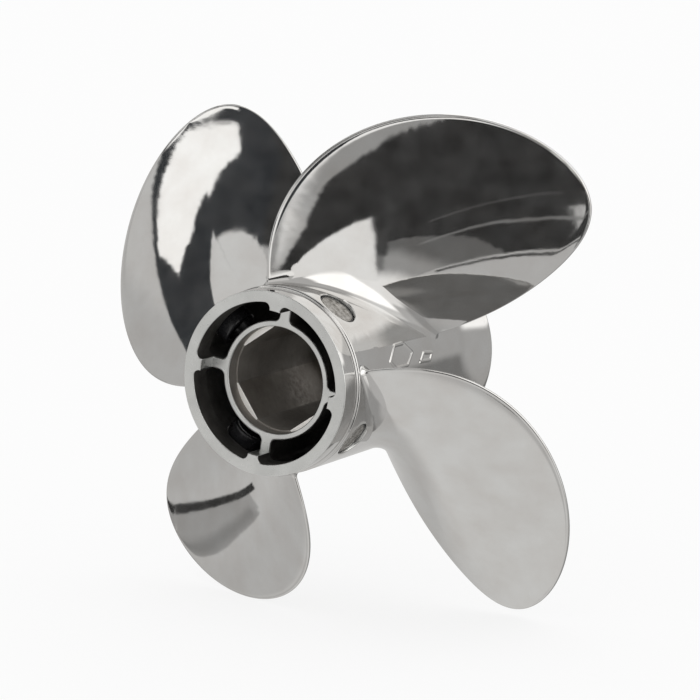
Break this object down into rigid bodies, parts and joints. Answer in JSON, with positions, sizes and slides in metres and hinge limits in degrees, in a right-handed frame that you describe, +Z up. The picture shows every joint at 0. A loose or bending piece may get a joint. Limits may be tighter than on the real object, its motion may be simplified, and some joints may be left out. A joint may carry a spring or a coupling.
{
  "type": "outboard propeller",
  "caption": "Polished stainless outboard propeller with large round blades, a flared through-exhaust hub, ribs, an empty square drive socket and plugged vent holes.",
  "frame": {"origin": "on the shaft axis in the plane of the inner hub's front face, where the thrust washer bears", "axes": "+Y along the shaft towards the open aft end, -Y towards the gearcase, +Z up, +X to the right seen from the front"},
  "size_m": [0.3186, 0.181, 0.3186],
  "materials": {
    "polished_steel": "mirror polished, with fine buffing marks",
    "cast_steel": "as cast inside, machined on the front faces",
    "turned_steel": "turned",
    "black_plastic": "glossy black"
  },
  "bodies": {
    "propeller": {"barrel": "polished_steel", "inner_hub": "cast_steel", "rib_1": "cast_steel", "rib_2": "cast_steel", "rib_3": "cast_steel", "rib_4": "cast_steel", "blade_1": "polished_steel", "blade_2": "polished_steel", "blade_3": "polished_steel", "blade_4": "polished_steel"},
    "plug_1": {"vent_plug_1": "black_plastic", "vent_disc_1": "turned_steel"},
    "plug_2": {"vent_plug_2": "black_plastic", "vent_disc_2": "turned_steel"},
    "plug_3": {"vent_plug_3": "black_plastic", "vent_disc_3": "turned_steel"},
    "plug_4": {"vent_plug_4": "black_plastic", "vent_disc_4": "turned_steel"}
  },
  "joints": [
    {"name": "plug_1_pull", "type": "slide", "parent": "propeller", "child": "plug_1", "axis": [0.6115, 0, 0.7912], "range_m": [0, 0.03]},
    {"name": "plug_2_pull", "type": "slide", "parent": "propeller", "child": "plug_2", "axis": [-0.7912, 0, 0.6115], "range_m": [0, 0.03]},
    {"name": "plug_3_pull", "type": "slide", "parent": "propeller", "child": "plug_3", "axis": [-0.6115, 0, -0.7912], "range_m": [0, 0.03]},
    {"name": "plug_4_pull", "type": "slide", "parent": "propeller", "child": "plug_4", "axis": [0.7912, 0, -0.6115], "range_m": [0, 0.03]}
  ]
}
